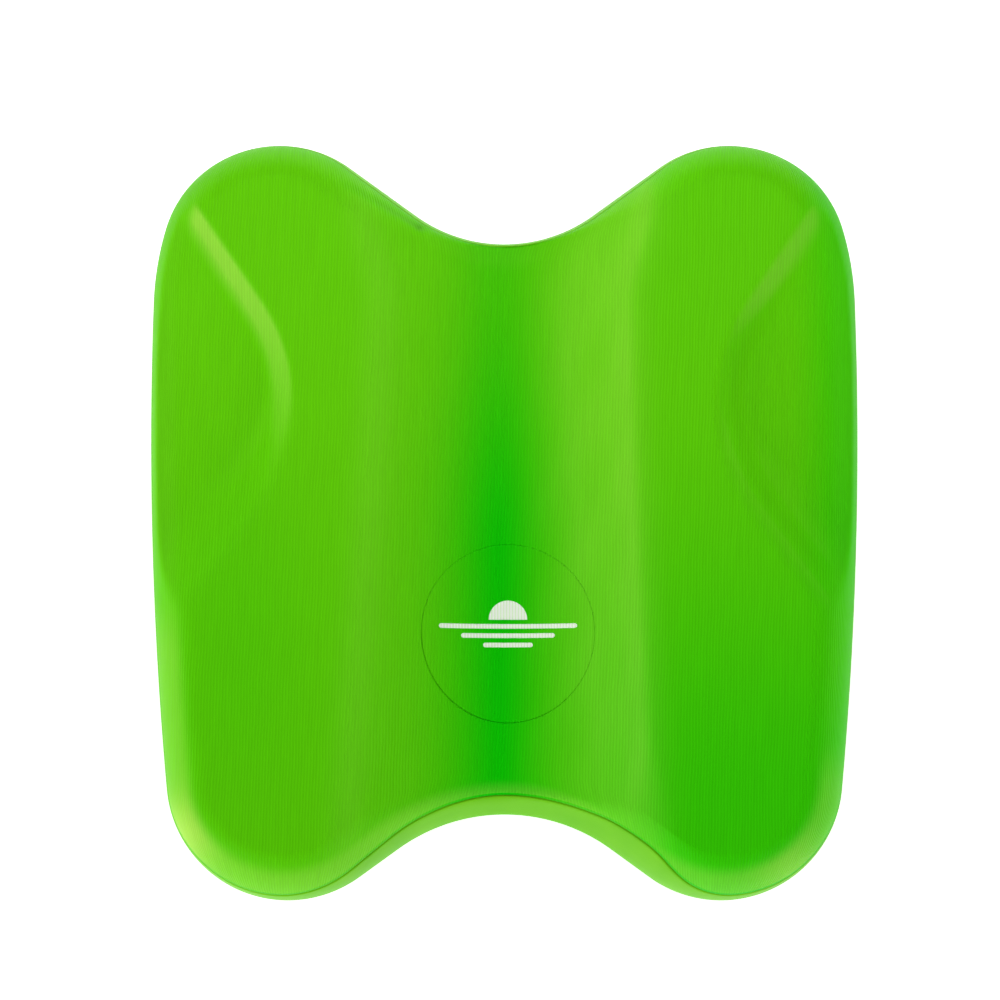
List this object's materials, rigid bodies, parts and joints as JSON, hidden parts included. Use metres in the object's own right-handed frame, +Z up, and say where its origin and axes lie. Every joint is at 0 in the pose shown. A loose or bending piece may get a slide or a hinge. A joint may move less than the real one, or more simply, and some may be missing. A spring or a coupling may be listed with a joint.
{
  "type": "swim float",
  "caption": "Soft foam swim float, a kickboard and pull buoy in one: a thigh valley runs along each face and hand scoops are pressed into both sides.",
  "frame": {"origin": "on the ground under the middle of the bounding box, with the float lying flat", "axes": "+X across the float, +Y along the thigh valley towards the end with the narrower, deeper notch, +Z up"},
  "size_m": [0.2606, 0.279, 0.06],
  "materials": {
    "ribbed_skin": "ribbed closed-cell EVA foam skin, green, satin",
    "core_foam": "smooth moulded EVA foam, yellow-green, satin",
    "white_print": "white screen ink"
  },
  "bodies": {
    "root": {"top_skin": "ribbed_skin", "print_disc": "ribbed_skin", "printed_mark": "white_print", "upper_core": "core_foam", "lower_core": "core_foam", "bottom_skin": "ribbed_skin"}
  },
  "joints": []
}
